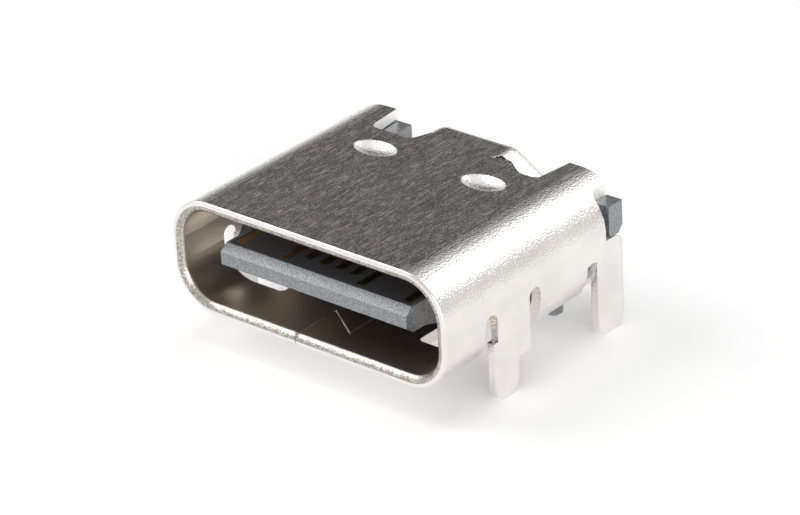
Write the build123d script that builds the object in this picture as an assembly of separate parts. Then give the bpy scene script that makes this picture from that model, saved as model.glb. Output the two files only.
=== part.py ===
from build123d import *
import os

# Charging port connector: a board receptacle with a folded metal shell, a flat plastic
# tongue and sixteen contacts.
# Millimetres. X runs across, Y from the mouth to the rear, Z up from the board.
# The exported frame has its origin between the four shell legs, on the board plane.
# While it is modelled, Y counts from the plane of the mouth.

# Shell
shell_width = 8.94
shell_height = 3.16
shell_length = 7.00
sheet = 0.30
corner_radius = 1.25
outer_lip_round = 0.07
inner_lip_bevel = 0.10

# Shell legs, in the plane of the side walls
leg_drop = 0.92
leg_thickness = 0.22
leg_spacing = 4.18
rear_leg_width = 1.04
rear_leg_tip_radius = 0.40
rear_slot_width = 0.38
rear_slot_rise = 0.03
front_leg_width = 0.94
front_leg_tip_radius = 0.40
front_leg_toe = 0.17
front_leg_heel = 0.49
front_leg_step_height = 0.72
front_leg_shoulder_height = 0.02
front_leg_front_slot = 0.45
front_leg_rear_slot = 0.43
front_slot_rise = 0.29
middle_slot_rise = 0.34
leg_root_lap = 0.10
window_reach = 2.22
window_corner_radius = 0.15

# Seam in the bottom of the shell, locked by a dovetail
seam_offset = -0.45
seam_gap = 0.04
dovetail_reach = 1.07
dovetail_middle = 2.45
dovetail_neck = 1.78
dovetail_head = 3.20

# Rear edge of the shell's top: two notches with a flap between them
notch_front_side = 1.74
notch_rear_side = 1.61
notch_depth = 1.18
notch_corner_radius = 0.20
left_neck_front = 1.41
left_neck_rear = 1.18
right_neck_front = 1.00
right_neck_rear = 1.14
right_bay_rise = 0.45
right_bay_start = 0.58
right_bay_end = 0.40
right_bay_radius = 0.30
right_bay_hook = 0.20
neck_corner_radius = 0.05
flap_bend_radius = 0.05
flap_overhang = 0.15
flap_shoulder_width = 2.24
flap_shoulder_drop = 0.68
flap_ridge_radius = 0.15
flap_roof_length = 0.75
flap_foot = 0.36
flap_foot_radius = 0.20

# Two long dimples pressed into the top
dimple_offset = 1.78
dimple_from_mouth = 4.87
dimple_length = 1.32
dimple_width = 0.80
dimple_depth = 0.17
dimple_centre_height = 0.30

# Side notches of the shell, with the housing's ears in them
ear_notch_length = 0.65
ear_notch_height = 0.09
ear_notch_depth = 0.49
ear_notch_radius = 0.20
ear_shoulder_radius = 0.28
ear_length = 0.545
ear_bottom_gap = 0.04
ear_height = 0.86
ear_proud = 0.03
ear_side_gap = 0.02
ear_front_break = 0.08
ear_rear_break = 0.17

# Tongue
tongue_thickness = 0.70
tongue_half_width = 3.345
tongue_nose_half_width = 3.05
tongue_nose_from_mouth = 0.25
tongue_nose_bevel_length = 0.24
tongue_nose_bevel_height = 0.18
tongue_nose_straight_end = 0.95
tongue_full_width_from = 1.40
latch_recess_from = 1.85
latch_recess_length = 1.05
latch_recess_depth = 0.32
collar_thickness = 1.24
collar_side = 0.255
collar_length = 0.98
collar_radius = 0.30

# Metal plate inside the tongue
plate_thickness = 0.15
plate_front = 0.95
plate_edge_from = 1.50
plate_cover = 0.20
plate_end_from_rear = 0.80
plate_root_half_width = 3.00

# Housing, the plastic base that fills the rear of the shell
housing_gap = 0.03
base_dimple_gap = 0.02
rear_bay_length = 1.24
rear_bay_side_gap = 0.14
rear_bay_depth = 0.86
base_underside_gap = 0.06
tail_bay_side_gap = 0.15
tail_bay_height = 0.90
flap_clearance = 0.05

# Locating pegs
peg_radius = 0.25
peg_offset = 2.89
peg_ahead_of_rear_leg = 0.36
peg_length = 0.74
peg_bevel = 0.08

# Contact carriers, the plastic that the contacts are moulded into
carrier_side = 0.075
carrier_front = 0.52
carrier_end_from_rear = 0.66

# Contacts
contact_thickness = 0.12
contact_width = 0.25
power_contact_front = 0.62
signal_contact_front = 0.95
spread_length = 1.69
upper_riser_from_rear = 0.32
lower_riser_from_rear = 0.49
tail_width = 0.22
tail_reach = 0.78
tail_bend_radius = 0.10
contact_pitch = 0.50
outer_contact_steps = 5.5
power_contact_steps = 2.5
signal_contact_steps = (1.5, 0.5)
shared_pad_spread = 0.15
ground_pad = 3.25
power_pad = 2.45

# Values worked out from the sizes above
half_width = shell_width / 2
inner_half_width = half_width - sheet
inner_top = shell_height - sheet
inner_radius = corner_radius - sheet
middle_height = shell_height / 2
rear_leg_front = shell_length - rear_leg_width
rear_leg_middle = shell_length - rear_leg_width / 2
front_leg_middle = rear_leg_middle - leg_spacing
front_leg_front = front_leg_middle - front_leg_width / 2
front_leg_rear = front_leg_middle + front_leg_width / 2
front_root_front = front_leg_front + front_leg_toe
front_root_rear = front_leg_rear + front_leg_heel
window_front = front_root_front - front_leg_front_slot
window_rear = front_root_rear + front_leg_rear_slot
rear_cut_front = rear_leg_front - rear_slot_width
window_inner_edge = half_width - window_reach
front_slot_top = corner_radius + front_slot_rise
middle_slot_top = corner_radius + middle_slot_rise
rear_slot_top = corner_radius + rear_slot_rise
leg_root_top = corner_radius + leg_root_lap
leg_inner_face = half_width - leg_thickness
notch_front = shell_length - notch_depth
notch_front_span = half_width - notch_front_side
notch_rear_span = half_width - notch_rear_side
bay_start = notch_front_span - right_bay_start
bay_end = right_neck_rear + right_bay_end
bay_front = notch_front + right_bay_rise
ear_notch_front = shell_length - ear_notch_length
ear_notch_bottom = middle_height + ear_notch_height
ear_notch_inner = half_width - ear_notch_depth
shoulder_room = ear_notch_bottom - leg_root_top
shoulder_radius = min(ear_shoulder_radius, 0.9 * shoulder_room)
ear_bottom = ear_notch_bottom + ear_bottom_gap
ear_rear = shell_length + ear_proud
base_front = dimple_from_mouth + dimple_width / 2 + base_dimple_gap
base_step = shell_length - rear_bay_length
base_underside_front = rear_cut_front + base_underside_gap
rear_bay_half_width = flap_shoulder_width + rear_bay_side_gap
rear_bay_floor = inner_top - rear_bay_depth
tail_bay_half_width = ground_pad + shared_pad_spread + tail_width / 2 + tail_bay_side_gap
peg_from_mouth = rear_leg_middle - peg_ahead_of_rear_leg
carrier_half_width = outer_contact_steps * contact_pitch + contact_width / 2 + carrier_side
carrier_rear = shell_length - carrier_end_from_rear
plate_rear = shell_length - plate_end_from_rear
tail_end = shell_length + tail_reach
collar_half_width = tongue_half_width + collar_side
flap_outer = shell_length + flap_overhang
flap_inner = flap_outer - sheet
flap_front = flap_outer - flap_roof_length
flap_slope = flap_shoulder_drop / (flap_shoulder_width - right_neck_rear)
base_rear = flap_inner - flap_clearance
tongue_top = middle_height + tongue_thickness / 2
tongue_bottom = middle_height - tongue_thickness / 2
plate_top = middle_height + plate_thickness / 2
plate_bottom = middle_height - plate_thickness / 2
collar_front = base_front - collar_length
collar_top = middle_height + collar_thickness / 2
collar_bottom = middle_height - collar_thickness / 2
origin_from_mouth = (front_leg_middle + rear_leg_middle) / 2
# Cutters reach this far past the surfaces they cut through
past = 1.0
beyond_side = half_width + past
beyond_rear = shell_length + past
beyond_top = shell_height + past


def block(x_low, x_high, y_low, y_high, z_low, z_high):
    """A box between two corners."""
    size = (x_high - x_low, y_high - y_low, z_high - z_low)
    place = ((x_low + x_high) / 2, (y_low + y_high) / 2, (z_low + z_high) / 2)
    return Pos(*place) * Box(*size)


def plan_prism(points, z_low, z_high):
    """An outline of X, Y points raised from one height to another."""
    outline = Polyline(*[(x, y, z_low) for x, y in points], close=True)
    return extrude(make_face(outline), amount=z_high - z_low, dir=(0, 0, 1))


def side_prism(points, x_low, x_high):
    """An outline of Y, Z points carried across the part."""
    outline = Polyline(*[(x_low, y, z) for y, z in points], close=True)
    return extrude(make_face(outline), amount=x_high - x_low, dir=(1, 0, 0))


def end_prism(points, y_low, y_high):
    """An outline of X, Z points carried from front to rear."""
    outline = Polyline(*[(x, y_low, z) for x, z in points], close=True)
    return extrude(make_face(outline), amount=y_high - y_low, dir=(0, 1, 0))


def rounded_bar(half, z_low, z_high, radius, y_low, y_high):
    """A bar along Y with four rounded long edges."""
    bar = block(-half, half, y_low, y_high, z_low, z_high)
    return fillet(bar.edges().filter_by(Axis.Y), radius)


def edges_at(solid, axis, x=None, y=None, z=None):
    """The edges along an axis whose middle lies at the given coordinates."""
    found = solid.edges().filter_by(axis)
    for name, value in (("X", x), ("Y", y), ("Z", z)):
        if value is not None:
            found = found.filter_by(lambda e, n=name, v=value: abs(getattr(e.center(), n) - v) < 1e-4)
    return found


def slot_cutter(x_low, x_high, y_low, y_high, z_low, z_top):
    """A slot through a side wall with a round top."""
    radius = (y_high - y_low) / 2
    straight = block(x_low, x_high, y_low, y_high, z_low, z_top - radius)
    turn = Rot(0, 90, 0) * Cylinder(radius, x_high - x_low)
    return straight + Pos((x_low + x_high) / 2, (y_low + y_high) / 2, z_top - radius) * turn


def both_sides(solid):
    """A solid and its mirror image on the other side of the part."""
    return solid + mirror(solid, about=Plane.YZ)


def mirrored_outline(right_side):
    """An outline from its right-hand points, front to rear."""
    return right_side + [(-x, y) for x, y in reversed(right_side)]


# Outer shell: one folded sheet

tube = rounded_bar(half_width, 0, shell_height, corner_radius, 0, shell_length)
tube = fillet(tube.edges().group_by(Axis.Y)[0], outer_lip_round)
bore = rounded_bar(inner_half_width, sheet, inner_top, inner_radius, -past, beyond_rear)
tube = tube - bore


def on_inner_lip(edge):
    """Whether an edge lies on the inner outline of the mouth."""
    low = edge.bounding_box().min
    high = edge.bounding_box().max
    slack = outer_lip_round / 2
    across = max(-low.X, high.X) < inner_half_width + slack
    upright = low.Z > sheet - slack and high.Z < inner_top + slack
    return abs(high.Y) < slack and across and upright


tube = chamfer(tube.edges().filter_by(on_inner_lip), inner_lip_bevel)

# Windows that the front legs leave in the wall and the bottom
wall_x = (inner_half_width - sheet, beyond_side)
window = block(window_inner_edge, beyond_side, window_front, window_rear, -past, corner_radius)
window = fillet(edges_at(window, Axis.Z, x=window_inner_edge), window_corner_radius)
front_slot = slot_cutter(*wall_x, window_front, front_root_front, 0, front_slot_top)
middle_slot = slot_cutter(*wall_x, front_root_rear, window_rear, 0, middle_slot_top)
rear_slot = slot_cutter(*wall_x, rear_cut_front, rear_leg_front, 0, rear_slot_top)
rear_cut = block(-beyond_side, beyond_side, rear_cut_front, beyond_rear, -past, corner_radius)
tube = tube - both_sides(window + front_slot + middle_slot + rear_slot) - rear_cut

# Seam
neck = dovetail_neck / 2
head = dovetail_head / 2
seam_path = Polyline(
    (seam_offset, -past),
    (seam_offset, dovetail_middle - neck),
    (seam_offset + dovetail_reach, dovetail_middle - head),
    (seam_offset + dovetail_reach, dovetail_middle + head),
    (seam_offset, dovetail_middle + neck),
    (seam_offset, shell_length),
)
seam = extrude(trace(seam_path, seam_gap), amount=sheet + outer_lip_round, dir=(0, 0, 1))
tube = tube - Pos(0, 0, -outer_lip_round / 2) * seam

# Notches beside the flap
left_notch = plan_prism(
    [
        (-notch_rear_span, beyond_rear),
        (-notch_rear_span, shell_length),
        (-notch_front_span, notch_front),
        (-left_neck_front, notch_front),
        (-left_neck_rear, flap_front),
        (-left_neck_rear, beyond_rear),
    ],
    inner_top - sheet,
    beyond_top,
)
left_notch = fillet(edges_at(left_notch, Axis.Z, y=notch_front), notch_corner_radius)
right_notch = plan_prism(
    [
        (notch_rear_span, beyond_rear),
        (notch_rear_span, shell_length),
        (notch_front_span, notch_front),
        (bay_start, notch_front),
        (bay_end, bay_front),
        (right_neck_front, bay_front - right_bay_hook),
        (right_neck_rear, flap_front),
        (right_neck_rear, beyond_rear),
    ],
    inner_top - sheet,
    beyond_top,
)
right_notch = fillet(edges_at(right_notch, Axis.Z, x=notch_front_span), notch_corner_radius)
right_notch = fillet(edges_at(right_notch, Axis.Z, x=bay_start), right_bay_radius)
right_notch = fillet(edges_at(right_notch, Axis.Z, y=bay_front), notch_corner_radius)
right_notch = fillet(edges_at(right_notch, Axis.Z, x=right_neck_front), neck_corner_radius)
neck_end = block(-left_neck_rear, right_neck_rear, flap_front, beyond_rear, inner_top - sheet, beyond_top)
tube = tube - left_notch - right_notch - neck_end

# Notches for the ears, with a rounded shoulder on the wall below each
ear_notch = block(ear_notch_inner, beyond_side, ear_notch_front, beyond_rear, ear_notch_bottom, beyond_top)
ear_notch = fillet(edges_at(ear_notch, Axis.Z, x=ear_notch_inner, y=ear_notch_front), ear_notch_radius)
tube = tube - both_sides(ear_notch)
tube = fillet(edges_at(tube, Axis.X, y=shell_length, z=ear_notch_bottom), shoulder_radius)


# Flap: a roof whose shoulders slope down beside the neck, bent down behind the housing
def flap_outline(reach, foot):
    """The flap seen from behind, with its slopes carried out to a half width."""
    left_low = shell_height - flap_slope * (reach - left_neck_rear)
    right_low = shell_height - flap_slope * (reach - right_neck_rear)
    roof_line = FilletPolyline(
        (-reach, left_low),
        (-left_neck_rear, shell_height),
        (right_neck_rear, shell_height),
        (reach, right_low),
        radius=flap_ridge_radius + sheet,
    )
    sides = Polyline((reach, right_low), (reach, foot), (-reach, foot), (-reach, left_low))
    return make_face(roof_line + sides)


def flap_body(outline, y_low, y_high):
    """An outline seen from behind, carried from front to rear."""
    return Pos(0, y_low, 0) * extrude(Plane.XZ * outline, amount=y_high - y_low, dir=(0, 1, 0))


flap = flap_body(flap_outline(flap_shoulder_width, flap_foot), flap_front, flap_outer)
under_roof = offset(flap_outline(flap_shoulder_width + past, -past), amount=-sheet)
flap = flap - flap_body(under_roof, flap_front - past, flap_inner)
shoulder_low = shell_height - flap_shoulder_drop - sheet
for y, radius in ((flap_outer, flap_bend_radius + sheet), (flap_inner, flap_bend_radius)):
    bend_line = [e for e in flap.edges() if abs(e.center().Y - y) < 1e-4 and e.center().Z > shoulder_low]
    flap = fillet(bend_line, radius)
flap = fillet(edges_at(flap, Axis.Y, z=flap_foot), flap_foot_radius)
tube = tube + flap

# Dimples: the lowest part of an ellipsoid whose middle is above the sheet
bowl_height = dimple_depth + dimple_centre_height
rim_share = (1 - (dimple_centre_height / bowl_height) ** 2) ** 0.5
bowl_size = (dimple_length / 2 / rim_share, dimple_width / 2 / rim_share, bowl_height)
pocket = Pos(0, 0, dimple_centre_height) * scale(Sphere(1), by=bowl_size)
pocket = pocket & block(-dimple_length, dimple_length, -dimple_width, dimple_width, -bowl_height, 0)
for side in (-1, 1):
    place = Pos(side * dimple_offset, dimple_from_mouth, 0)
    tube = tube + place * Pos(0, 0, inner_top) * pocket
    tube = tube - place * Pos(0, 0, shell_height) * pocket

# Legs
front_leg = side_prism(
    [
        (front_root_front, leg_root_top),
        (front_root_front, front_leg_step_height),
        (front_leg_front, front_leg_step_height),
        (front_leg_front, -leg_drop),
        (front_leg_rear, -leg_drop),
        (front_leg_rear, -front_leg_shoulder_height),
        (front_root_rear, -front_leg_shoulder_height),
        (front_root_rear, leg_root_top),
    ],
    leg_inner_face,
    half_width,
)
front_leg = fillet(edges_at(front_leg, Axis.X, z=-leg_drop), front_leg_tip_radius)
rear_leg = block(leg_inner_face, half_width, rear_leg_front, shell_length, -leg_drop, leg_root_top)
rear_leg = fillet(edges_at(rear_leg, Axis.X, z=-leg_drop), rear_leg_tip_radius)
outer_shell = tube + both_sides(front_leg + rear_leg)

# Contacts: the strip runs along the tongue, spreads to its pad and turns down to the board
def contact(start_x, tail_x, upper, front):
    """One contact strip with its tail."""
    if upper:
        z_low = tongue_top - contact_thickness
        riser = shell_length - upper_riser_from_rear
    else:
        z_low = tongue_bottom
        riser = shell_length - lower_riser_from_rear
    spread_end = riser - tail_bend_radius - contact_thickness
    spread_start = spread_end - spread_length
    half = contact_width / 2
    foot = tail_width / 2
    strip = plan_prism(
        [
            (start_x - half, front),
            (start_x + half, front),
            (start_x + half, spread_start),
            (tail_x + foot, spread_end),
            (tail_x - foot, spread_end),
            (start_x - half, spread_start),
        ],
        z_low,
        z_low + contact_thickness,
    )
    z_middle = z_low + contact_thickness / 2
    path = FilletPolyline(
        (spread_end, z_middle),
        (riser, z_middle),
        (riser, contact_thickness / 2),
        (tail_end, contact_thickness / 2),
        radius=tail_bend_radius,
    )
    tail = extrude(Plane.YZ * trace(path, contact_thickness), amount=foot, both=True)
    return strip + Pos(tail_x, 0, 0) * tail


# Places of one row from the side to the middle: pitch steps on the tongue, and the shared pad if any
row_places = [(outer_contact_steps, ground_pad), (power_contact_steps, power_pad)]
row_places = row_places + [(steps, None) for steps in signal_contact_steps]
contacts = {}
for row, upper, outward in (("upper", True, -1), ("lower", False, 1)):
    number = 1
    for side, places in ((-1, row_places), (1, row_places[::-1])):
        for steps, pad in places:
            start = steps * contact_pitch
            if pad is None:
                # Single tails stand at the same pitch, upper and lower in turn
                tail = 2 * start + outward * contact_pitch / 2
                front = signal_contact_front
            else:
                tail = pad + outward * shared_pad_spread
                front = power_contact_front
            contacts[f"{row}_contact_{number}"] = contact(side * start, side * tail, upper, front)
            number = number + 1

# Plate inside the tongue
recess_end = latch_recess_from + latch_recess_length
recess_x = tongue_half_width - latch_recess_depth
mid_plate = plan_prism(
    mirrored_outline(
        [
            (tongue_nose_half_width - plate_cover, plate_front),
            (tongue_nose_half_width - plate_cover, plate_edge_from),
            (tongue_half_width, plate_edge_from),
            (tongue_half_width, latch_recess_from),
            (recess_x, latch_recess_from),
            (recess_x, recess_end),
            (tongue_half_width, recess_end),
            (tongue_half_width, collar_front),
            (plate_root_half_width, collar_front),
            (plate_root_half_width, plate_rear),
        ]
    ),
    plate_bottom,
    plate_top,
)

# Contact carriers
across = carrier_half_width
upper_block = block(-across, across, carrier_front, carrier_rear, plate_top, tongue_top)
lower_block = block(-across, across, carrier_front, carrier_rear, tongue_bottom, plate_bottom)
upper_strips = [solid for name, solid in contacts.items() if name.startswith("upper")]
lower_strips = [solid for name, solid in contacts.items() if name.startswith("lower")]
upper_carrier = upper_block - upper_strips
lower_carrier = lower_block - lower_strips

# Housing
tongue = plan_prism(
    mirrored_outline(
        [
            (tongue_nose_half_width, tongue_nose_from_mouth),
            (tongue_nose_half_width, tongue_nose_straight_end),
            (tongue_half_width, tongue_full_width_from),
            (tongue_half_width, latch_recess_from),
            (recess_x, latch_recess_from),
            (recess_x, recess_end),
            (tongue_half_width, recess_end),
            (tongue_half_width, base_front),
        ]
    ),
    tongue_bottom,
    tongue_top,
)
nose_edge = tongue_nose_from_mouth + tongue_nose_bevel_length
for edge_z, inward_z in ((tongue_top, -1), (tongue_bottom, 1)):
    bevel = side_prism(
        [
            (tongue_nose_from_mouth, edge_z),
            (nose_edge, edge_z),
            (tongue_nose_from_mouth, edge_z + inward_z * tongue_nose_bevel_height),
        ],
        -tongue_half_width,
        tongue_half_width,
    )
    tongue = tongue - bevel
collar = rounded_bar(collar_half_width, collar_bottom, collar_top, collar_radius, collar_front, base_front)

fill_half = inner_half_width - housing_gap
fill_low = sheet + housing_gap
fill_high = inner_top - housing_gap
fill_radius = inner_radius - housing_gap
plug = rounded_bar(fill_half, fill_low, fill_high, fill_radius, base_front, base_rear)
outer_radius = corner_radius - housing_gap
plug = plug + rounded_bar(fill_half, 0, fill_high, outer_radius, base_underside_front, base_rear)
bay = rear_bay_half_width
plug = plug - block(-bay, bay, base_step, shell_length, rear_bay_floor, shell_height)
corner_posts = rounded_bar(fill_half, fill_low, fill_high, fill_radius, base_step, shell_length)
corner_posts = corner_posts - block(-bay, bay, 0, beyond_rear, 0, shell_height)
bay = tail_bay_half_width
corner_posts = corner_posts - block(-bay, bay, base_rear, beyond_rear, 0, tail_bay_height)
ear_inner = ear_notch_inner + ear_side_gap
ear = block(ear_inner, half_width, ear_rear - ear_length, ear_rear, ear_bottom, ear_bottom + ear_height)
ear = chamfer(edges_at(ear, Axis.X, y=ear_rear - ear_length, z=ear_bottom), ear_front_break)
ear = chamfer(edges_at(ear, Axis.X, y=ear_rear, z=ear_bottom), ear_rear_break)
# Each peg is rooted in the base, above the curve of the shell's corner
peg_whole = peg_length + fill_low
peg = Pos(peg_offset, peg_from_mouth, fill_low - peg_whole / 2) * Cylinder(peg_radius, peg_whole)
peg = chamfer(peg.edges().group_by(Axis.Z)[0], peg_bevel)
housing = tongue + collar + plug + corner_posts + both_sides(ear + peg)
housing = housing - [upper_block, lower_block, mid_plate] - list(contacts.values())

# One file for each piece, in the exported frame

pieces = {
    "outer_shell": outer_shell,
    "housing": housing,
    "mid_plate": mid_plate,
    "upper_contact_carrier": upper_carrier,
    "lower_contact_carrier": lower_carrier,
}
pieces.update(contacts)

os.makedirs("parts", exist_ok=True)
for name, solid in pieces.items():
    placed = Pos(0, -origin_from_mouth, 0) * solid
    export_step(placed, f"parts/{name}.step")
    print(f"{name}: {len(placed.solids())} solid, {placed.volume:.4f} mm3")
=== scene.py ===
import math

import bmesh
import bpy
from bpy.props import FloatProperty, FloatVectorProperty, PointerProperty
from mathutils import Matrix, Vector


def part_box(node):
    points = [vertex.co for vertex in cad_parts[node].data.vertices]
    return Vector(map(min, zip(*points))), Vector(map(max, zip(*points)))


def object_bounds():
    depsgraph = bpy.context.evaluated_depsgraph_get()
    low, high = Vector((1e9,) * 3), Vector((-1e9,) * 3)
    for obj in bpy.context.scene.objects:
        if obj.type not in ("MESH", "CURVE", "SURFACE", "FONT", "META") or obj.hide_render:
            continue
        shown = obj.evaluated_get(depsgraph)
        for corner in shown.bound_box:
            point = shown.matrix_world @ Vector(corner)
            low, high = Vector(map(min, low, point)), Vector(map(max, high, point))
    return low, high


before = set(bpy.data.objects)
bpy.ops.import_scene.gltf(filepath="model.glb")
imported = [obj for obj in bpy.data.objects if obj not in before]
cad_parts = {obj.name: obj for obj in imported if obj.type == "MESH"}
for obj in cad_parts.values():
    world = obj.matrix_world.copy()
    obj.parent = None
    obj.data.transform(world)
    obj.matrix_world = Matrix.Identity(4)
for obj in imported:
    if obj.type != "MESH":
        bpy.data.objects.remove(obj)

bl_info = {
    "name": "Charging port connector",
    "version": (1, 0, 0),
    "blender": (4, 5, 0),
    "location": "3D View > Sidebar > Connector",
    "description": "Finishes and stage for a board receptacle with a folded metal shell",
    "category": "Object",
}

MM = 0.001
CAD_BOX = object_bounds()
SHELL_LOW, SHELL_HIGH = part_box("outer_shell")
# The shell's tube lies on the board plane, so its middle is at half its height
SHEET = 0.30 * MM
CORNER_RADIUS = 1.25 * MM
TUBE_HALF_HEIGHT = SHELL_HIGH.z / 2
# Width of the rounded lead-in on the inner edge of the mouth
LEAD_IN = 0.165 * MM
# The lip's front face lies within this of the front plane
LIP_DEPTH = 0.05 * MM
# The rear notches' cut faces lie farther out than this, and the flap's slopes nearer the middle
NOTCH_FROM = 2.3 * MM
# The dimples are the hollows of the top face nearer the middle than this and between these planes
DIMPLES_WITHIN = 2.6 * MM
DIMPLES_FROM = -1.0 * MM
DIMPLES_BEFORE = 1.2 * MM
DIMPLE_DEPTH = 0.17 * MM
# How upright a face's normal is where the rolling scratches start to show, and where they show in full
FLAT_RANGE = (0.92, 0.995)
# Distance over which one finish turns into the next, and half the width of the shear line
BLUR = 0.01 * MM
SHEAR_BLUR = 0.025 * MM
# Shares of the plating's brightness in its dullest and its clearest patches
DULL_PATCH = 0.88
CLEAR_PATCH = 0.96
# What scratches add to the plating's roughness, and the roughness of the tube's inner side and of torn faces
SCRATCH_ROUGHNESS = 0.12
INSIDE_ROUGHNESS = 0.36
TORN_ROUGHNESS = 0.60
# Depths of the sheet's relief
WAVE_DEPTH = 0.003 * MM
GRAIN_DEPTH = 0.015 * MM
SCRATCH_DEPTH = 0.0065 * MM
# Behind this plane the housing fills the tube, and only outer faces of the sheet are seen
FILLED_FROM = 1.0 * MM
# The bevel on the upper edge of the tongue's nose lies above this height and ahead of this plane
NOSE_BEVEL_LOW = 1.755 * MM
NOSE_BEVEL_END = -3.89 * MM
# Sizes of the patterns in millimetres, across, along and up
SHEET_WAVES = (0.5, 1.2, 0.5)
HOUSING_FLOW = (0.5, 0.2, 0.2)
CARRIER_FLOW = (0.1, 0.3, 0.1)
ROLLING_MARKS = (0.03, 0.5, 0.03)
STAMPING_MARKS = (0.02, 0.25, 0.02)
# The paper's real fibres are finer; they are drawn as coarse as they need to show
PAPER_FIBRE = (2, 2, 2)
# Half the length over which the contacts' gold turns to tin
PLATING_OVERLAP = 0.1 * MM
# Where the dark card stands: the top of the shell mirrors it to the photograph's camera. The card fades in
# between two cosines of the angle from its middle
CARD_DIRECTION = (-0.59, 0.67, 0.45)
CARD_FADE = (0.87, 0.99)
CARD_SOFTNESS = 1.3
# How much brighter than it is lit the floor shows to the camera, and in metal
FLOOR_LIFT = 0.30
MIRRORED_LIFT = 0.41
FLOOR_SIDES = 96
# The photograph's camera: its turn, rise and roll, the point it looks at, its distance and its lens
CAMERA_ANGLES = (41.605, 26.971, -3.123)
CAMERA_AIM = Vector((0.659, -1.549, 1.58)) * MM
CAMERA_DISTANCE = 96.656 * MM
CAMERA_LENS = 173.73
CAMERA_SENSOR = 36
CONTACT_NODES = sorted(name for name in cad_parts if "_contact_" in name and "carrier" not in name)
CARRIER_NODES = ["upper_contact_carrier", "lower_contact_carrier"]


def linear(text):
    """An sRGB hex colour as linear red, green and blue."""
    values = [int(text[i : i + 2], 16) / 255 for i in (1, 3, 5)]
    return [v / 12.92 if v <= 0.04045 else ((v + 0.055) / 1.055) ** 2.4 for v in values]


# Properties


def length(name, description, default_mm):
    """A length property with its default in millimetres."""
    return FloatProperty(
        name=name,
        description=description,
        default=default_mm * MM,
        min=0.0,
        unit="LENGTH",
        precision=6,
    )


def colour(name, description, default):
    """A colour property with its default as an sRGB hex value."""
    return FloatVectorProperty(
        name=name,
        description=description,
        default=linear(default),
        min=0.0,
        max=1.0,
        subtype="COLOR",
    )


class ShellFinish(bpy.types.PropertyGroup):
    plating: colour("Plating", "Colour of the nickel plating", "#EEEAE6")
    # Painted shade: the lead-in colour is a dark band that stands in for the dark reflection on the lip's
    # inner edge
    lead_in_shade: colour("Cut edge", "Colour of the worn edge inside the lip", "#8A8379")
    # Painted highlight: the torn-face colour is near white so that the cut faces read as bright as the light
    # they catch
    torn_face_highlight: colour("Torn face", "Colour of the torn cut faces of the rear notches", "#FAF8F6")
    # Painted reflection: the dimple colour is near white so that the dimples read as bright as the
    # surroundings they mirror
    dimple_highlight: colour("Burnished", "Colour of the dimples, burnished by the punch", "#FAF8F6")
    # Painted shade: the inside colour is a darker, warmer tint that stands in for the shade inside the tube
    inside: colour("Inside", "Colour of the plating inside the tube", "#CDC1B3")
    scratch_length: length("Scratch length", "Length of the short rolling scratches on the sheet", 0.50)
    scratch_width: length("Scratch width", "Width of the short rolling scratches on the sheet", 0.05)
    # The real grain is finer; it is drawn as coarse as it needs to show
    grain_size: length("Grain size", "Size of the grain in the plating", 0.055)
    blotch_size: length("Blotch size", "Size of the duller patches on the sheet", 0.9)
    edge_radius: length("Edge radius", "Radius that the eye reads on cut edges", 0.03)


class HousingFinish(bpy.types.PropertyGroup):
    plastic: colour("Plastic", "Colour of the housing's moulded plastic", "#4C5057")
    carrier: colour("Carrier", "Colour of the contact carriers' moulded plastic", "#46474C")
    speckle: colour("Speckle", "Colour of the glass filler that shows at the surface", "#9BA1AA")
    # Painted highlight: this colour lightens the nose's upper bevel, in the filler's speck pattern
    nose_highlight: colour("Rubbed", "Colour of the filler on the rubbed bevel of the nose", "#989DA6")
    # The real filler is finer; it is drawn as coarse as it needs to show
    speckle_size: length("Speckle size", "Size of the filler specks", 0.04)
    edge_radius: length("Edge radius", "Radius that the eye reads on moulded edges", 0.02)


class ContactFinish(bpy.types.PropertyGroup):
    plate: colour("Plate", "Colour of the stainless plate between the contacts", "#C4C3C0")
    gold: colour("Gold", "Colour of the gold flash on the contacts", "#A0865C")
    tin: colour("Tin", "Colour of the tinned solder tails", "#D8D6D0")
    tail_start: length("Tail start", "How far behind the shell's middle the tinned part begins", 2.2)
    edge_radius: length("Edge radius", "Radius that the eye reads on stamped edges", 0.015)


class StageSettings(bpy.types.PropertyGroup):
    floor: colour("Floor", "Colour of the floor", "#F4F4F4")
    floor_radius: length("Floor radius", "Radius of the round floor", 260)
    room: colour("Room", "Colour of the room that metal mirrors", "#EBEAE9")
    dark_card: colour("Dark card", "Colour of the dark area behind the part that metal mirrors", "#3B3633")
    fill: colour("Fill", "Colour of the room's soft light on the part", "#7F7F7F")


# Materials


def add(tree, kind, settings=None, links=None):
    """Adds a node, sets its properties and input values, and links its inputs. A link's source is a socket,
    or a node, which stands for its first output in use."""
    made = tree.nodes.new(kind)
    for key, value in (settings or {}).items():
        if isinstance(key, str) and hasattr(made, key):
            setattr(made, key, value)
        else:
            made.inputs[key].default_value = value
    for key, source in (links or {}).items():
        if isinstance(source, bpy.types.Node):
            source = next(socket for socket in source.outputs if socket.enabled)
        tree.links.new(source, made.inputs[key])
    return made


def new_material(name):
    """A new node material, its empty tree and the object coordinates in it."""
    material = bpy.data.materials.new(name)
    material.use_nodes = True
    tree = material.node_tree
    tree.nodes.clear()
    place = add(tree, "ShaderNodeTexCoord").outputs["Object"]
    return material, tree, place


def stretched(tree, place, sizes_mm):
    """Coordinates in which one unit is the given size in millimetres along each axis."""
    scale = tuple(1 / (size * MM) for size in sizes_mm)
    return add(tree, "ShaderNodeVectorMath", {"operation": "MULTIPLY", 1: scale}, {0: place})


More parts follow.
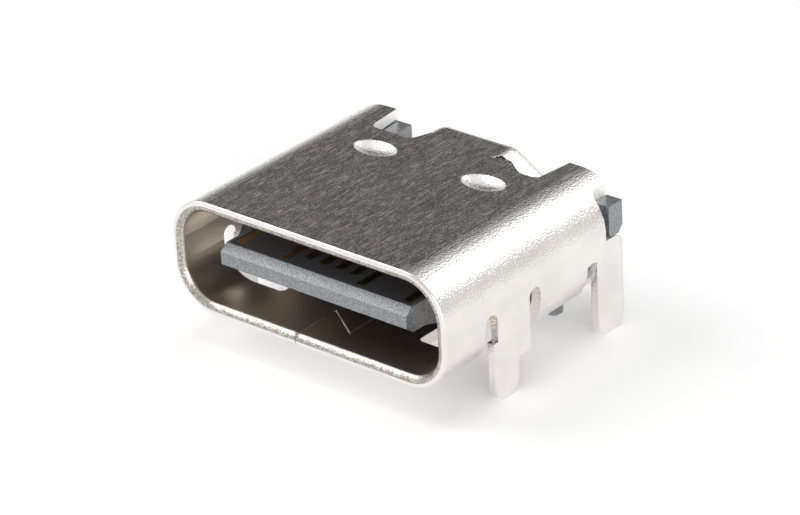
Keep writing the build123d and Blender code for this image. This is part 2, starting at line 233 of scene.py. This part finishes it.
def core_distance(tree, place):
    """How far a point is from the tube's core, a flat bar as wide as the tube less its corner radius: it
    tells the sheet's inner side from its outer side, and runs across the lip of the mouth."""
    middle = ((SHELL_LOW.x + SHELL_HIGH.x) / 2, 0, TUBE_HALF_HEIGHT)
    core = (SHELL_HIGH.x - CORNER_RADIUS, 0, TUBE_HALF_HEIGHT - CORNER_RADIUS)
    off = add(tree, "ShaderNodeVectorMath", {"operation": "SUBTRACT", 1: middle}, {0: place})
    off = add(tree, "ShaderNodeVectorMath", {"operation": "ABSOLUTE"}, {0: off})
    off = add(tree, "ShaderNodeVectorMath", {"operation": "SUBTRACT", 1: core}, {0: off})
    off = add(tree, "ShaderNodeVectorMath", {"operation": "MAXIMUM", 1: (0, 0, 0)}, {0: off})
    off = add(tree, "ShaderNodeVectorMath", {"operation": "MULTIPLY", 1: (1, 0, 1)}, {0: off})
    return add(tree, "ShaderNodeVectorMath", {"operation": "LENGTH"}, {0: off})


def sheet_patterns(tree, place, finish):
    """The sheet's patterns: rolling scratches along it, grain, duller patches, faint waves, and the broken
    spots in which painted shade lies on the lip's lead-in."""
    width = finish.scratch_width / MM
    grain = finish.grain_size / MM
    blotch = finish.blotch_size / MM
    streak = (width, finish.scratch_length / MM, width)
    patterns = {}
    for name, sizes_mm, detail, roughness, distortion in (
        ("scratches", streak, 2.0, 0.55, 0.25),
        ("grain", (grain, grain, grain), 1.0, 0.5, 0.0),
        ("patches", (blotch, blotch * 1.5, blotch), 3.0, 0.6, 0.0),
        ("waves", SHEET_WAVES, 2.0, 0.5, 0.0),
        ("spots", (grain * 1.5, grain, grain), 3.0, 0.7, 0.0),
    ):
        settings = {"Scale": 1.0, "Detail": detail, "Roughness": roughness, "Distortion": distortion}
        grid = stretched(tree, place, sizes_mm)
        patterns[name] = add(tree, "ShaderNodeTexNoise", settings, {"Vector": grid})
    return patterns


def sheet_zones(tree, place, patterns):
    """Where the sheet's finish changes, each place as a value from 0 to 1."""
    facing = add(tree, "ShaderNodeTexCoord").outputs["Normal"]
    apart = add(tree, "ShaderNodeSeparateXYZ", None, {0: place}).outputs
    upright = add(tree, "ShaderNodeSeparateXYZ", None, {0: facing}).outputs["Z"]
    upright = add(tree, "ShaderNodeMath", {"operation": "ABSOLUTE"}, {0: upright})
    aside = add(tree, "ShaderNodeMath", {"operation": "ABSOLUTE"}, {0: apart["X"]})
    along = apart["Y"]
    away = core_distance(tree, place)
    front = SHELL_LOW.y
    inner_side = CORNER_RADIUS - SHEET
    shear = inner_side + LEAD_IN
    top = SHELL_HIGH.z
    dimple_floor = top - DIMPLE_DEPTH
    zones = {}
    # Each step rises or falls between two readings of one value: a place, a distance or a pattern from 0 to 1
    for name, value, low, high, at_low, at_high in (
        ("flat", upright, *FLAT_RANGE, 0, 1),
        ("lip", along, front + LIP_DEPTH, front + LIP_DEPTH + 7 * BLUR, 1, 0),
        ("off the inside", away, inner_side + BLUR, inner_side + 3 * BLUR, 0, 1),
        ("under the outside", away, CORNER_RADIUS - 2 * BLUR, CORNER_RADIUS - BLUR, 1, 0),
        ("ahead", along, front + LEAD_IN, front + LEAD_IN + 2 * BLUR, 1, 0),
        ("rounded", away, shear, shear + 2 * BLUR, 1, 0),
        ("up to the shear", away, shear - SHEAR_BLUR, shear, 0, 1),
        ("past the shear", away, shear, shear + SHEAR_BLUR, 1, 0),
        ("unbroken", patterns["patches"], 0.30, 0.50, 0, 1),
        ("spotted", patterns["spots"], 0.42, 0.60, 0.45, 1),
        ("scratched", patterns["scratches"], 0.50, 0.70, 0, 1),
        ("notched", aside, NOTCH_FROM, NOTCH_FROM + BLUR, 0, 1),
        ("filled", along, FILLED_FROM, FILLED_FROM + 5 * BLUR, 0, 1),
        ("sunk", apart["Z"], top - 2 * BLUR, top - BLUR, 1, 0),
        ("in the top", apart["Z"], dimple_floor - 3 * BLUR, dimple_floor - 2 * BLUR, 0, 1),
        ("near the middle", aside, DIMPLES_WITHIN, DIMPLES_WITHIN + BLUR, 1, 0),
        ("past the lip", along, DIMPLES_FROM, DIMPLES_FROM + BLUR, 0, 1),
        ("unnotched", along, DIMPLES_BEFORE, DIMPLES_BEFORE + BLUR, 1, 0),
    ):
        limits = {"From Min": low, "From Max": high, "To Min": at_low, "To Max": at_high}
        zones[name] = add(tree, "ShaderNodeMapRange", limits, {"Value": value})
    for name, operation, first, *others in (
        ("outside", "MAXIMUM", "off the inside", "lip", "filled"),
        # The press rounded the lip's inner edge as a lead-in for the plug
        ("lead-in", "MULTIPLY", "ahead", "rounded"),
        # A thin broken line shows where the shear ended, and the lead-in is painted darker in broken spots:
        # painted shade that stands in for the dark reflection on the lip's inner edge
        ("shear line", "MULTIPLY", "up to the shear", "past the shear", "unbroken"),
        ("spotted painted lead-in shade", "MULTIPLY", "lead-in", "spotted"),
        ("marks", "MAXIMUM", "shear line", "spotted painted lead-in shade"),
        ("shear line and painted lip shade", "MULTIPLY", "lip", "marks"),
        # The notches' cut faces are torn, so they scatter light and read matt; their near-white colour is a
        # painted highlight
        ("torn with painted highlight", "MULTIPLY", "off the inside", "under the outside", "notched", "filled"),
        # The dimples are painted near white: a painted reflection of the bright room that their hollows
        # mirror
        ("dimple_highlight", "MULTIPLY", "sunk", "in the top", "near the middle", "past the lip", "unnotched"),
        # The rolling scratches are on the flat top and bottom; the bends and side walls are smooth
        ("pale scratches", "MULTIPLY", "flat", "scratched"),
    ):
        joined = zones[first]
        for other in others:
            joined = add(tree, "ShaderNodeMath", {"operation": operation}, {0: joined, 1: zones[other]})
        zones[name] = joined
    zones["inside"] = add(tree, "ShaderNodeMath", {"operation": "SUBTRACT", 0: 1.0}, {1: zones["outside"]})
    return zones


def sheet_colour(tree, patterns, zones, finish):
    """The plating's tone, changed a little by its patches and scratches, and by more where light and shade
    are painted on: painted shade at the lip's lead-in and inside the tube, a painted highlight on the
    notches' torn faces, and a painted reflection in the dimples.
    """
    limits = {"From Min": 0.35, "From Max": 0.65}
    clear = add(tree, "ShaderNodeMapRange", limits, {"Value": patterns["patches"]})
    dull_tone = [part * DULL_PATCH for part in finish.plating]
    clear_tone = [part * CLEAR_PATCH for part in finish.plating]
    tones = {6: (*dull_tone, 1), 7: (*clear_tone, 1)}
    body = add(tree, "ShaderNodeMix", {"data_type": "RGBA", **tones}, {0: clear})
    for zone, tone in (
        ("pale scratches", finish.plating),
        # Painted shade on the lip's lead-in and shear line
        ("shear line and painted lip shade", finish.lead_in_shade),
        # Painted shade inside the tube
        ("inside", finish.inside),
        # Painted highlight on the notches' torn faces
        ("torn with painted highlight", finish.torn_face_highlight),
        # Painted reflection in the dimples
        ("dimple_highlight", finish.dimple_highlight),
    ):
        body = add(tree, "ShaderNodeMix", {"data_type": "RGBA", 7: (*tone, 1)}, {0: zones[zone], 6: body})
    return body


def sheet_gloss(tree, patterns, zones):
    """The plating's roughness: patches, scratches, a duller inner side and matt torn faces."""
    gloss = add(tree, "ShaderNodeMapRange", {"To Min": 0.20, "To Max": 0.27}, {"Value": patterns["patches"]})
    scratched = {"operation": "MULTIPLY_ADD", 1: SCRATCH_ROUGHNESS}
    gloss = add(tree, "ShaderNodeMath", scratched, {0: zones["pale scratches"], 2: gloss})
    for zone, least in (("inside", INSIDE_ROUGHNESS), ("torn with painted highlight", TORN_ROUGHNESS)):
        rough = add(tree, "ShaderNodeMath", {"operation": "MULTIPLY", 1: least}, {0: zones[zone]})
        gloss = add(tree, "ShaderNodeMath", {"operation": "MAXIMUM"}, {0: gloss, 1: rough})
    return gloss


def sheet_relief(tree, patterns, zones, finish):
    """The plating's relief: rounded edges, faint waves, a grain that sparkles where the light turns at a
    bend, and scratches. Grain and scratches fade inside the tube and at the lip."""
    share = {}
    for name, zone, at_zero, at_one in (
        ("outer", "outside", 0.25, 1.0),
        ("off the lip", "lip", 1.0, 0.35),
        ("scored", "flat", 0.1, 1.0),
        ("grained", "flat", 1.0, 0.7),
        ("edge radius", "lead-in", finish.edge_radius, LEAD_IN),
    ):
        limits = {"To Min": at_zero, "To Max": at_one}
        share[name] = add(tree, "ShaderNodeMapRange", limits, {"Value": zones[zone]})
    both = {0: share["outer"], 1: share["off the lip"]}
    relief = add(tree, "ShaderNodeMath", {"operation": "MULTIPLY"}, both)
    for name in ("scored", "grained"):
        share[name] = add(tree, "ShaderNodeMath", {"operation": "MULTIPLY"}, {0: relief, 1: share[name]})
    bumped = add(tree, "ShaderNodeBevel", {"samples": 6}, {"Radius": share["edge radius"]})
    for pattern, depth, strength in (
        ("waves", WAVE_DEPTH, None),
        ("grain", GRAIN_DEPTH, share["grained"]),
        ("scratches", SCRATCH_DEPTH, share["scored"]),
    ):
        links = {"Height": patterns[pattern], "Normal": bumped}
        if strength:
            links["Strength"] = strength
        bumped = add(tree, "ShaderNodeBump", {"Strength": 1.0, "Distance": depth}, links)
    return bumped


def plated_sheet(finish):
    """Nickel-plated steel sheet, rolled, cut and folded: a bright warm metal with short broken scratches
    along its length, duller patches, and a fine grain that sparkles where the light turns at a bend."""
    material, tree, place = new_material("nickel_plated_rolled_steel")
    patterns = sheet_patterns(tree, place, finish)
    zones = sheet_zones(tree, place, patterns)
    links = {
        "Base Color": sheet_colour(tree, patterns, zones, finish),
        "Roughness": sheet_gloss(tree, patterns, zones),
        "Normal": sheet_relief(tree, patterns, zones, finish),
    }
    surface = add(tree, "ShaderNodeBsdfPrincipled", {"Metallic": 1.0}, links)
    add(tree, "ShaderNodeOutputMaterial", None, {"Surface": surface})
    return material


def carrier_plastic(finish):
    """Unfilled black liquid crystal polymer, moulded round the contacts: nearly black with a satin face."""
    material, tree, place = new_material("moulded_black_polymer")
    grid = stretched(tree, place, CARRIER_FLOW)
    flow = add(tree, "ShaderNodeTexNoise", {"Scale": 1.0, "Detail": 3.0}, {"Vector": grid})
    gloss = add(tree, "ShaderNodeMapRange", {"To Min": 0.4, "To Max": 0.6}, {"Value": flow})
    bump = add(tree, "ShaderNodeBump", {"Distance": 0.002 * MM}, {"Height": flow})
    polymer = {"IOR": 1.6, "Base Color": (*finish.carrier, 1)}
    surface = add(tree, "ShaderNodeBsdfPrincipled", polymer, {"Roughness": gloss, "Normal": bump})
    add(tree, "ShaderNodeOutputMaterial", None, {"Surface": surface})
    return material


def moulded_plastic(finish):
    """Glass-filled liquid crystal polymer, moulded: dark blue-grey with a satin skin in which pale filler
    specks show."""
    material, tree, place = new_material("moulded_glass_filled_polymer")
    grid = stretched(tree, place, [finish.speckle_size / MM] * 3)
    filler = {"Scale": 1.0, "Detail": 3.0, "Roughness": 0.7}
    specks = add(tree, "ShaderNodeTexNoise", filler, {"Vector": grid})
    grid = stretched(tree, place, HOUSING_FLOW)
    flow = add(tree, "ShaderNodeTexNoise", {"Scale": 1.0, "Detail": 2.0}, {"Vector": grid})
    apart = add(tree, "ShaderNodeSeparateXYZ", None, {0: place}).outputs
    step = {}
    for name, value, low, high, at_low, at_high in (
        ("specked", specks, 0.45, 0.65, 0, 0.8),
        ("highlight specks", specks, 0.47, 0.57, 0, 1),
        ("high", apart["Z"], NOSE_BEVEL_LOW, NOSE_BEVEL_LOW + BLUR, 0, 1),
        ("ahead", apart["Y"], NOSE_BEVEL_END, NOSE_BEVEL_END + BLUR, 1, 0),
        ("gloss", flow, 0.3, 0.7, 0.36, 0.5),
    ):
        limits = {"From Min": low, "From Max": high, "To Min": at_low, "To Max": at_high}
        step[name] = add(tree, "ShaderNodeMapRange", limits, {"Value": value})
    # The nose's upper bevel is painted lighter in filler specks: a painted highlight where the bevel catches
    # the light
    nose_highlight = step["high"]
    for name in ("ahead", "highlight specks"):
        nose_highlight = add(tree, "ShaderNodeMath", {"operation": "MULTIPLY"}, {0: nose_highlight, 1: step[name]})
    tones = {6: (*finish.plastic, 1), 7: (*finish.speckle, 1)}
    body = add(tree, "ShaderNodeMix", {"data_type": "RGBA", **tones}, {0: step["specked"]})
    body = add(tree, "ShaderNodeMix", {"data_type": "RGBA", 7: (*finish.nose_highlight, 1)}, {0: nose_highlight, 6: body})
    edge = add(tree, "ShaderNodeBevel", {"samples": 4, "Radius": finish.edge_radius})
    relief = {"Strength": 1.0, "Distance": 0.010 * MM}
    bump = add(tree, "ShaderNodeBump", relief, {"Height": specks, "Normal": edge})
    surface = add(
        tree,
        "ShaderNodeBsdfPrincipled",
        {"IOR": 1.64, "Specular IOR Level": 1.0, "Coat Weight": 1.0, "Coat Roughness": 0.25, "Coat IOR": 1.6},
        {"Base Color": body, "Roughness": step["gloss"], "Normal": bump},
    )
    add(tree, "ShaderNodeOutputMaterial", None, {"Surface": surface})
    return material


def rolled_stainless(finish):
    """Bare stainless strip, rolled: a cool grey metal, a little duller than the plated shell."""
    material, tree, place = new_material("rolled_stainless_strip")
    grid = stretched(tree, place, ROLLING_MARKS)
    marks = add(tree, "ShaderNodeTexNoise", {"Scale": 1.0, "Detail": 2.0}, {"Vector": grid})
    gloss = add(tree, "ShaderNodeMapRange", {"To Min": 0.25, "To Max": 0.45}, {"Value": marks})
    bump = add(tree, "ShaderNodeBump", {"Distance": 0.001 * MM}, {"Height": marks})
    steel = {"Metallic": 1.0, "Base Color": (*finish.plate, 1)}
    surface = add(tree, "ShaderNodeBsdfPrincipled", steel, {"Roughness": gloss, "Normal": bump})
    add(tree, "ShaderNodeOutputMaterial", None, {"Surface": surface})
    return material


def plated_contact(finish):
    """Copper alloy contact, stamped, with a gold flash where the plug touches and tin on its tail: warm
    yellow inside, pale silver at the board."""
    material, tree, place = new_material("gold_flashed_copper_alloy")
    along = add(tree, "ShaderNodeSeparateXYZ", None, {0: place}).outputs["Y"]
    low = finish.tail_start - PLATING_OVERLAP
    high = finish.tail_start + PLATING_OVERLAP
    tinned = add(tree, "ShaderNodeMapRange", {"From Min": low, "From Max": high}, {"Value": along})
    grid = stretched(tree, place, STAMPING_MARKS)
    marks = add(tree, "ShaderNodeTexNoise", {"Scale": 1.0, "Detail": 2.0}, {"Vector": grid})
    tones = {6: (*finish.gold, 1), 7: (*finish.tin, 1)}
    body = add(tree, "ShaderNodeMix", {"data_type": "RGBA", **tones}, {0: tinned})
    gloss = add(tree, "ShaderNodeMapRange", {"To Min": 0.22, "To Max": 0.38}, {"Value": marks})
    edge = add(tree, "ShaderNodeBevel", {"samples": 4, "Radius": finish.edge_radius})
    bump = add(tree, "ShaderNodeBump", {"Distance": 0.001 * MM}, {"Height": marks, "Normal": edge})
    links = {"Base Color": body, "Roughness": gloss, "Normal": bump}
    surface = add(tree, "ShaderNodeBsdfPrincipled", {"Metallic": 1.0}, links)
    add(tree, "ShaderNodeOutputMaterial", None, {"Surface": surface})
    return material


def dress(names, material):
    """Gives CAD nodes a material on every slot."""
    for name in names:
        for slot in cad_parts[name].material_slots:
            slot.material = material


# Stage


def white_sheet(settings):
    """Matt white paper sheet: it reads as the white background and keeps the soft shadow."""
    material, tree, place = new_material("matt_white_paper")
    grid = stretched(tree, place, PAPER_FIBRE)
    fibre = add(tree, "ShaderNodeTexNoise", {"Scale": 1.0, "Detail": 2.0}, {"Vector": grid})
    tone = add(tree, "ShaderNodeMapRange", {"To Min": 0.98, "To Max": 1.0}, {"Value": fibre})
    paper = {"operation": "SCALE", 0: tuple(settings.floor)}
    body = add(tree, "ShaderNodeVectorMath", paper, {"Scale": tone})
    # The sheet shows brighter than it is lit to the camera, and brighter again in metal
    path = add(tree, "ShaderNodeLightPath").outputs
    lift = {}
    for ray, strength in (
        ("Is Camera Ray", FLOOR_LIFT),
        ("Is Transmission Ray", FLOOR_LIFT),
        ("Is Glossy Ray", MIRRORED_LIFT),
    ):
        lift[ray] = add(tree, "ShaderNodeMath", {"operation": "MULTIPLY", 1: strength}, {0: path[ray]})
    shown = lift["Is Camera Ray"]
    for ray in ("Is Transmission Ray", "Is Glossy Ray"):
        shown = add(tree, "ShaderNodeMath", {"operation": "MAXIMUM"}, {0: shown, 1: lift[ray]})
    matt = add(tree, "ShaderNodeBsdfDiffuse", None, {"Color": body})
    glow = add(tree, "ShaderNodeEmission", {"Color": (1, 1, 1, 1)}, {"Strength": shown})
    both = add(tree, "ShaderNodeAddShader", None, {0: matt, 1: glow})
    add(tree, "ShaderNodeOutputMaterial", None, {"Surface": both})
    return material


def studio_world(settings):
    """A white room to the camera, soft grey light on the part, and for metal a dark card behind the part."""
    world = bpy.data.worlds.new("studio")
    world.use_nodes = True
    tree = world.node_tree
    tree.nodes.clear()
    way = add(tree, "ShaderNodeTexCoord").outputs["Generated"]
    card = tuple(Vector(CARD_DIRECTION).normalized())
    near = add(tree, "ShaderNodeVectorMath", {"operation": "DOT_PRODUCT", 1: card}, {0: way})
    limits = {"From Min": CARD_FADE[0], "From Max": CARD_FADE[1]}
    inside = add(tree, "ShaderNodeMapRange", limits, {"Value": near})
    inside = add(tree, "ShaderNodeMath", {"operation": "POWER", 1: CARD_SOFTNESS}, {0: inside})
    tones = {6: (*settings.room, 1), 7: (*settings.dark_card, 1)}
    mirrored = add(tree, "ShaderNodeMix", {"data_type": "RGBA", **tones}, {0: inside})
    path = add(tree, "ShaderNodeLightPath").outputs
    fill = {"data_type": "RGBA", 6: (*settings.fill, 1)}
    lit = add(tree, "ShaderNodeMix", fill, {0: path["Is Glossy Ray"], 7: mirrored})
    white = {"data_type": "RGBA", 7: (1, 1, 1, 1)}
    shown = add(tree, "ShaderNodeMix", white, {0: path["Is Camera Ray"], 6: lit})
    background = add(tree, "ShaderNodeBackground", {"Strength": 1.0}, {"Color": shown})
    add(tree, "ShaderNodeOutputWorld", None, {"Surface": background})
    return world


def soft_lamp(name, direction, distance, size, level, on_matt=True, in_metal=True):
    """A square soft lamp aimed at the part. Its level is how bright a white surface that faces it becomes. A
    lamp that matt surfaces don't see is there for its mirror image alone, and one that metal doesn't see
    lights the part without a glare."""
    lamp = bpy.data.lights.new(name, "AREA")
    lamp.shape = "SQUARE"
    lamp.size = size
    # From a small lamp, a facing surface gets energy / (pi * distance squared) and gives back 1 / pi of that
    lamp.energy = level * math.pi * math.pi * distance * distance
    holder = bpy.data.objects.new(name, lamp)
    holder.visible_diffuse = on_matt
    holder.visible_glossy = in_metal
    way = Vector(direction).normalized()
    holder.location = way * distance
    holder.rotation_euler = way.to_track_quat("Z", "Y").to_euler()
    bpy.context.scene.collection.objects.link(holder)


def photo_camera():
    """The camera at the photograph's viewing angle."""
    turn, rise, roll = (math.radians(angle) for angle in CAMERA_ANGLES)
    back = Vector((math.sin(turn) * math.cos(rise), -math.cos(turn) * math.cos(rise), math.sin(rise)))
    level = Vector((math.cos(turn), math.sin(turn), 0))
    upright = back.cross(level)
    right = level * math.cos(roll) + upright * math.sin(roll)
    up = upright * math.cos(roll) - level * math.sin(roll)
    camera = bpy.data.cameras.new("photo_camera")
    camera.sensor_width = CAMERA_SENSOR
    camera.lens = CAMERA_LENS
    camera.clip_start = 0.001
    camera.clip_end = 10
    holder = bpy.data.objects.new("photo_camera", camera)
    spot = CAMERA_AIM + back * CAMERA_DISTANCE
    axes = Matrix((right, up, back)).transposed().to_4x4()
    holder.matrix_world = Matrix.Translation(spot) @ axes
    bpy.context.scene.collection.objects.link(holder)
    bpy.context.scene.camera = holder


# Operators


class CONNECTOR_OT_shell(bpy.types.Operator):
    """Plate the folded shell"""

    bl_idname = "connector.shell"
    bl_label = "Finish the shell"

    def execute(self, context):
        dress(["outer_shell"], plated_sheet(context.scene.connector_shell))
        return {"FINISHED"}


class CONNECTOR_OT_housing(bpy.types.Operator):
    """Mould the housing with its tongue, ears and pegs, and the carriers inside the tongue"""

    bl_idname = "connector.housing"
    bl_label = "Finish the housing and carriers"

    def execute(self, context):
        finish = context.scene.connector_housing
        dress(["housing"], moulded_plastic(finish))
        dress(CARRIER_NODES, carrier_plastic(finish))
        return {"FINISHED"}


class CONNECTOR_OT_plate(bpy.types.Operator):
    """Finish the steel plate inside the tongue"""

    bl_idname = "connector.plate"
    bl_label = "Finish the middle plate"

    def execute(self, context):
        dress(["mid_plate"], rolled_stainless(context.scene.connector_contacts))
        return {"FINISHED"}


class CONNECTOR_OT_contacts(bpy.types.Operator):
    """Plate the sixteen contacts"""

    bl_idname = "connector.contacts"
    bl_label = "Finish the contacts"

    def execute(self, context):
        dress(CONTACT_NODES, plated_contact(context.scene.connector_contacts))
        return {"FINISHED"}


class CONNECTOR_OT_stage(bpy.types.Operator):
    """Set up the floor, the soft lamps, the world and the camera"""

    bl_idname = "connector.stage"
    bl_label = "Set the stage"

    def execute(self, context):
        settings = context.scene.connector_stage
        mesh = bpy.data.meshes.new("floor")
        shape = bmesh.new()
        bmesh.ops.create_circle(shape, cap_ends=True, segments=FLOOR_SIDES, radius=settings.floor_radius)
        shape.to_mesh(mesh)
        shape.free()
        floor = bpy.data.objects.new("floor", mesh)
        floor.location.z = CAD_BOX[0].z
        mesh.materials.append(white_sheet(settings))
        context.scene.collection.objects.link(floor)
        context.scene.world = studio_world(settings)
        soft_lamp("lamp_above", (0.03, 0.08, 1.0), distance=0.30, size=0.17, level=0.30, in_metal=False)
        soft_lamp("lamp_right", (0.32, 0.67, 0.66), distance=0.30, size=0.18, level=0.24, on_matt=False)
        soft_lamp("lamp_left", (-0.80, -0.35, 0.80), distance=0.32, size=0.20, level=0.38)
        soft_lamp("lamp_front", (0.80, -0.60, 0.25), distance=0.32, size=0.24, level=0.50)
        photo_camera()
        context.scene.view_settings.view_transform = "Standard"
        return {"FINISHED"}


class CONNECTOR_PT_panel(bpy.types.Panel):
    """Lists the operators that finish the connector"""

    bl_idname = "CONNECTOR_PT_panel"
    bl_label = "Charging port connector"
    bl_space_type = "VIEW_3D"
    bl_region_type = "UI"
    bl_category = "Connector"

    def draw(self, context):
        for operator in OPERATORS:
            self.layout.operator(operator.bl_idname)


OPERATORS = (
    CONNECTOR_OT_stage,
    CONNECTOR_OT_shell,
    CONNECTOR_OT_housing,
    CONNECTOR_OT_plate,
    CONNECTOR_OT_contacts,
)
GROUPS = {
    "connector_shell": ShellFinish,
    "connector_housing": HousingFinish,
    "connector_contacts": ContactFinish,
    "connector_stage": StageSettings,
}


def register():
    for group in GROUPS.values():
        bpy.utils.register_class(group)
    for name, group in GROUPS.items():
        setattr(bpy.types.Scene, name, PointerProperty(type=group))
    for made in (*OPERATORS, CONNECTOR_PT_panel):
        bpy.utils.register_class(made)


def unregister():
    for made in reversed((*OPERATORS, CONNECTOR_PT_panel)):
        bpy.utils.unregister_class(made)
    for name, group in GROUPS.items():
        delattr(bpy.types.Scene, name)
        bpy.utils.unregister_class(group)


def main():
    register()
    bpy.ops.connector.stage()
    bpy.ops.connector.shell()
    bpy.ops.connector.housing()
    bpy.ops.connector.plate()
    bpy.ops.connector.contacts()


if __name__ == "__main__":
    main()
